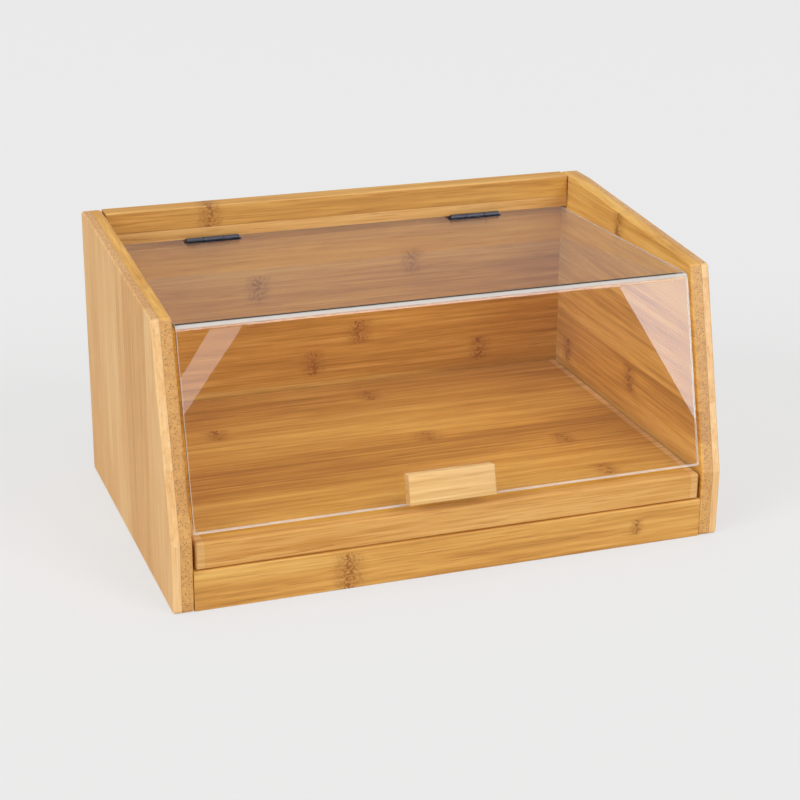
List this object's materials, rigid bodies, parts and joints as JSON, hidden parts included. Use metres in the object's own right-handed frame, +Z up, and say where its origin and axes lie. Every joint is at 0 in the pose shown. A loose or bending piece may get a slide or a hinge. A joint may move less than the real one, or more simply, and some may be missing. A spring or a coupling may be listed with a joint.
{
  "type": "bread box",
  "caption": "Bamboo bread box with a sloping front: a bent clear lid hinged at the back with a wooden knob, above a pull-out cutting board.",
  "frame": {"origin": "on the surface the box stands on, under the middle of its whole outline, knob included", "axes": "+X to the right as one faces the box, +Y from the sloping front to the hinged back, +Z up"},
  "size_m": [0.4, 0.2676, 0.2054],
  "materials": {
    "bamboo_sides": "satin clear lacquer over bamboo",
    "bamboo_back": "satin clear lacquer over bamboo",
    "bamboo_base": "satin clear lacquer over bamboo",
    "bamboo_rails": "satin clear lacquer over bamboo",
    "bamboo_board": "satin clear lacquer over bamboo",
    "bamboo_board_ends": "satin clear lacquer over bamboo",
    "dowels": "plain",
    "bamboo_knob": "satin clear lacquer over bamboo",
    "clear_sheet": "clear, polished",
    "hinge_metal": "dark, satin",
    "hinge_pin": "satin",
    "screws": "zinc, satin"
  },
  "bodies": {
    "frame": {"side_left": "bamboo_sides", "side_right": "bamboo_sides", "back_panel": "bamboo_back", "base_panel": "bamboo_base", "front_rail": "bamboo_rails", "top_rail": "bamboo_rails", "hinge_board": "bamboo_rails", "dowels_front_rail": "dowels", "dowels_top_rail": "dowels", "hinge_board_screws": "screws", "hinge_left_leaf_fixed": "hinge_metal", "hinge_left_pin": "hinge_pin", "hinge_right_leaf_fixed": "hinge_metal", "hinge_right_pin": "hinge_pin"},
    "lid": {"lid": "clear_sheet", "knob": "bamboo_knob", "knob_screws": "screws", "lid_screws": "screws", "hinge_left_leaf_lid": "hinge_metal", "hinge_right_leaf_lid": "hinge_metal"},
    "board": {"board_core": "bamboo_board", "board_end_left": "bamboo_board_ends", "board_end_right": "bamboo_board_ends"}
  },
  "joints": [
    {"name": "lid_hinge", "type": "hinge", "parent": "frame", "child": "lid", "pos_m": [0, 0.11568, 0.1802], "axis": [-1, 0, 0], "range_deg": [0, 94]},
    {"name": "board_slide", "type": "slide", "parent": "frame", "child": "board", "axis": [0, -1, 0], "range_m": [0, 0.24]}
  ]
}
